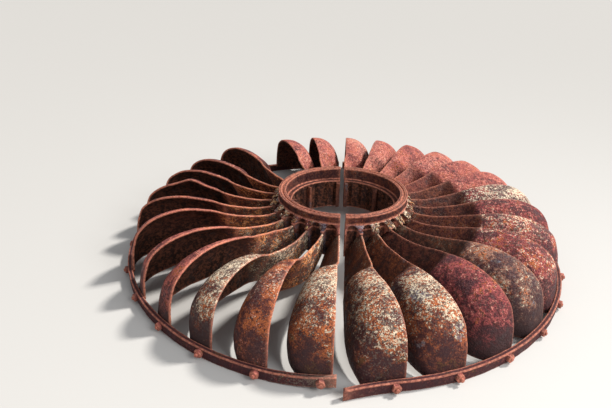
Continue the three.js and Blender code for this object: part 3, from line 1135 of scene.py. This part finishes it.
def dirt_layers(n, colour, noises, marks, low_dark, edge):
    """Lay dark pits, the darkening towards the bottom, soot with painted shade and shadow, and the
    worn metal of the edges with a painted highlight over a colour.
    """
    colour = n.mix(n.step(noises["fine"], *PIT_TURN), colour, PLUM)
    colour = n.mix(n.math("MULTIPLY", marks["low_dark"], low_dark), colour, LOW_DARK)
    # Soot with painted shade and shadow, as strong as the mark says
    soot_noise = n.blend(noises["grit"], 0.6, noises["blotch"])
    shade_and_soot = n.mix(n.step(soot_noise, *SHADE_AND_SOOT_TURN), SHADE_AND_SOOT, SHADE_AND_SOOT_WARM)
    patches = n.math("MULTIPLY_ADD", noises["cloud"], *SHADE_AND_SOOT_PATCHES)
    shaded_and_sooty = n.math("MULTIPLY", n.attribute("shade_and_soot"), patches, clamp=True)
    colour = n.mix(shaded_and_sooty, colour, shade_and_soot)
    # Worn edges, lightened partly as a painted highlight
    patches = n.math("MULTIPLY_ADD", noises["grit"], *EDGE_PATCHES)
    worn_and_lit = n.math("MULTIPLY", n.attribute("edge"), patches, clamp=True)
    return n.mix(n.math("MULTIPLY", worn_and_lit, edge), colour, WORN_EDGE_AND_HIGHLIGHT)


def rust(name, dark, light, crest_and_highlight=0.3, olive=0.2, low_dark=0.5, edge=0.5, relief=1.0,
         offset=(0, 0, 0), **shares):
    """Rust or lime: a ground of two colours, lighter on the bloom as painted sunlight, under
    flecks, dirt and painted shade. The shares say how much of it each kind of fleck covers, and one
    of zero or less leaves that to the marks; the crest share adds pale flecks along the top of a
    bowl, pale crust with a painted highlight, and olive those of moss near the ground."""
    n = Nodes(name)
    noises = rust_noises(n, offset)
    marks = rust_marks(n, noises)
    ground = n.blend(noises["cloud"], 0.6, noises["blotch"])
    # Where the bloom mark is, the ground is lighter: the bloom's colour with painted sunlight
    deeper = n.mix(marks["sunlit_bloom"], dark, SUNLIT_BLOOM_DARK)
    paler = n.mix(marks["sunlit_bloom"], light, SUNLIT_BLOOM_LIGHT)
    colour = n.mix(n.step(ground, *GROUND_TURN), deeper, paler)
    # Pale flecks follow moss near the ground, and on a bowl's crest they are pale crust with a
    # painted highlight
    added = {"olive": {"low": olive}, "cream": {"crest_and_highlight": crest_and_highlight}}
    colour = fleck_layers(n, colour, noises, marks, {**SHARES, **shares}, added)
    colour = dirt_layers(n, colour, noises, marks, low_dark, edge)
    coarse = n.blend(noises["blotch"], 0.5, noises["grit"])
    bumps = n.blend(coarse, 0.85, noises["fine"])
    bump = n.new("Bump")
    n.fill(bump, {"Strength": 1.0, "Distance": BUMP_HEIGHT * relief, "Height": bumps})
    surface = {
        "Base Color": colour,
        "Roughness": n.step(ground, *ROUGHNESS_TURN),
        "Specular IOR Level": 0.2,
        "Normal": bump.outputs["Normal"],
    }
    return n.finished(surface)


# How each blade has weathered
BROWN_RED = {"dark": shade(96, 52, 44), "light": shade(156, 88, 62)}
MAROON = {"dark": shade(100, 46, 48), "light": shade(156, 78, 76)}
ROSE = {"dark": shade(154, 80, 74), "light": shade(192, 108, 96)}
GREYED = {"dark": shade(100, 66, 58), "light": shade(158, 116, 98)}
CHESTNUT = {"dark": shade(84, 42, 42), "light": shade(138, 72, 66)}
SAND = {"dark": shade(168, 124, 76), "light": shade(222, 190, 140)}
WEATHER = {
    "mottled": dict(BROWN_RED, orange=0.55, cream=0.22, slate=0.0, olive=0.5, crest_and_highlight=0.2),
    "ochre": dict(BROWN_RED, pink=0.35, orange=0.62, cream=0.38, plum=0.42, olive=0.7, crest_and_highlight=0.14,
                  low_dark=0.7),
    "patched": dict(BROWN_RED, orange=0.5, slate=0.25, olive=0.4, crest_and_highlight=0.28),
    "smooth": dict(MAROON, pink=0.36, orange=0.18, cream=-0.02, plum=0.5, crest_and_highlight=0.08, low_dark=0.85,
                   relief=2.2),
    "freckled": dict(GREYED, pink=0.3, cream=0.36, plum=0.5, slate=0.05, crest_and_highlight=0.05, low_dark=1.0,
                     relief=1.3),
    "rosy": dict(ROSE, pink=0.5, orange=0.2, cream=-0.08, plum=0.28, crest_and_highlight=0.1, relief=2.2),
    "crested": dict(MAROON, pink=0.46, orange=0.36, cream=0.07, crest_and_highlight=0.3, relief=2.0),
    "limed": dict(MAROON, pink=0.4, orange=0.2, cream=0.22, plum=0.42, crest_and_highlight=0.42, relief=1.6),
    "strip": dict(ROSE, pink=0.4, cream=0.0, plum=0.46, crest_and_highlight=0.05, low_dark=0.8, edge=0.85,
                  relief=1.4),
    "lined": dict(CHESTNUT, pink=0.3, cream=-0.05, plum=0.5, crest_and_highlight=0.05, edge=0.9),
    "orange": dict(BROWN_RED, pink=0.42, orange=0.54, cream=0.18, plum=0.48, slate=-0.1, crest_and_highlight=0.1),
    "whitish": dict(BROWN_RED, orange=0.42, cream=0.46, plum=0.47, slate=0.0, crest_and_highlight=0.1, low_dark=1.0),
}
# The look of each half's blades in turn
BLADE_LOOKS = {
    "right": ["mottled", "patched", "smooth", "freckled", "crested", "crested", "smooth", "limed"]
    + 6 * ["rosy"],
    "left": ["rosy", "rosy", "strip"]
    + 5 * ["lined"]
    + 3 * ["strip"]
    + ["whitish", "orange", "ochre"],
}
PATTERN_STEP = (3.7, 1.9, 2.3)
RIBS = ("seam_rib_a", "rib_1", "rib_2", "rib_3", "seam_rib_b")
BROKEN = ("left", 3)


def paint(piece, material):
    piece.data.materials.clear()
    piece.data.materials.append(material)


# The wheel
looks = {
    label: rust(f"rust_{label}", **values, offset=tuple(step * k for step in PATTERN_STEP))
    for k, (label, values) in enumerate(WEATHER.items())
}
hub_rust = rust("rust_hub", **CHESTNUT, pink=0.22, orange=0.38, cream=0.08, plum=0.58, slate=0.0,
                edge=0.7, offset=(1, 5, 2))
bore_rust = rust("rust_bore", **BROWN_RED, orange=0.2, cream=0.06, plum=0.45, slate=0.12,
                 edge=0.3, offset=(4, 1, 9))
band_rust = rust("rust_band", **CHESTNUT, pink=0.34, cream=0.32, plum=0.66, low_dark=0.25, edge=0.7,
                 offset=(8, 3, 6))
nut_rust = rust("rust_nuts", **MAROON, pink=0.4, cream=0.1, plum=0.3, low_dark=0.1, edge=0.7,
                offset=(2, 8, 5))
lime_crust = rust("lime_crust", **SAND, pink=0.0, orange=0.55, cream=0.5, plum=0.52, slate=-0.1,
                  low_dark=0.0, offset=(6, 4, 1))

for side in ("right", "left"):
    paint(hub_mesh(side), hub_rust)
    paint(band_mesh(side), band_rust)
    paint(nut_meshes(side), nut_rust)
    paint(crust_mesh(side), lime_crust)
    for k, label in enumerate(RIBS):
        node = f"hub_{label}_{side}"
        paint(worn_copy(node, f"bore_{label}_{side}", 300 + k), bore_rust)
    for number in range(1, BLADES_PER_HALF + 1):
        broken = (side, number) == BROKEN
        label = ("stub_" if broken else "") + f"{side}_{number:02d}"
        piece = blade_mesh(f"plate_{label}", side, number, broken)
        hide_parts(f"blade_{label}")
        paint(piece, looks[BLADE_LOOKS[side][number - 1]])

# Floor: a wide pale sheet
bpy.ops.mesh.primitive_plane_add(size=120.0, location=(0, 0, 0))
floor = bpy.context.object
floor.name = "floor"
paper = {"Base Color": shade(196, 194, 190), "Roughness": 0.9, "Specular IOR Level": 0.1}
paint(floor, Nodes("pale_floor").finished(paper))


# Light: a key from high behind on the right, a faint fill from the front, a pale room
def lamp(name, kind, place_at, target, size, strength, colour):
    """A sun or a round lamp; size is the sun's angle or the lamp's width."""
    data = bpy.data.lights.new(name, kind)
    if kind == "AREA":
        data.shape = "DISK"
        data.size = size
    else:
        data.angle = size
    data.energy = strength
    data.color = colour
    item = add_object(name, data)
    item.location = place_at
    item.rotation_euler = (Vector(target) - Vector(place_at)).to_track_quat("-Z", "Y").to_euler()


lamp("key", "SUN", (3.4, 1.5, 3.7), (0, 0, 0), math.radians(8), 4.2, (1.0, 0.97, 0.93))
lamp("fill", "AREA", (2.6, -2.8, 2.8), (-0.3, -0.2, 0.2), 2.2, 110, (0.97, 0.98, 1.0))
room = bpy.data.worlds.new("room")
room.use_nodes = True
room_light = room.node_tree.nodes["Background"]
room_light.inputs["Color"].default_value = (0.88, 0.9, 0.94, 1)
room_light.inputs["Strength"].default_value = 0.5
scene.world = room

# Camera: where the photographer stood, a little left of the seam
CAMERA_AT = (-0.0625, -2.5517, 1.4667)
CAMERA_HEADING = 3.09
CAMERA_TILT = 64.25
CAMERA_ROLL = 1.14
lens = bpy.data.cameras.new("camera")
lens.lens = 30.03
lens.sensor_width = 36.0
lens.clip_end = 200.0
turn = Matrix.Identity(4)
for degrees, axis in ((CAMERA_HEADING, "Z"), (CAMERA_TILT, "X"), (CAMERA_ROLL, "Z")):
    turn = turn @ Matrix.Rotation(math.radians(degrees), 4, axis)
scene.camera = add_object("camera", lens)
scene.camera.matrix_world = Matrix.Translation(CAMERA_AT) @ turn
scene.view_settings.view_transform = "Standard"
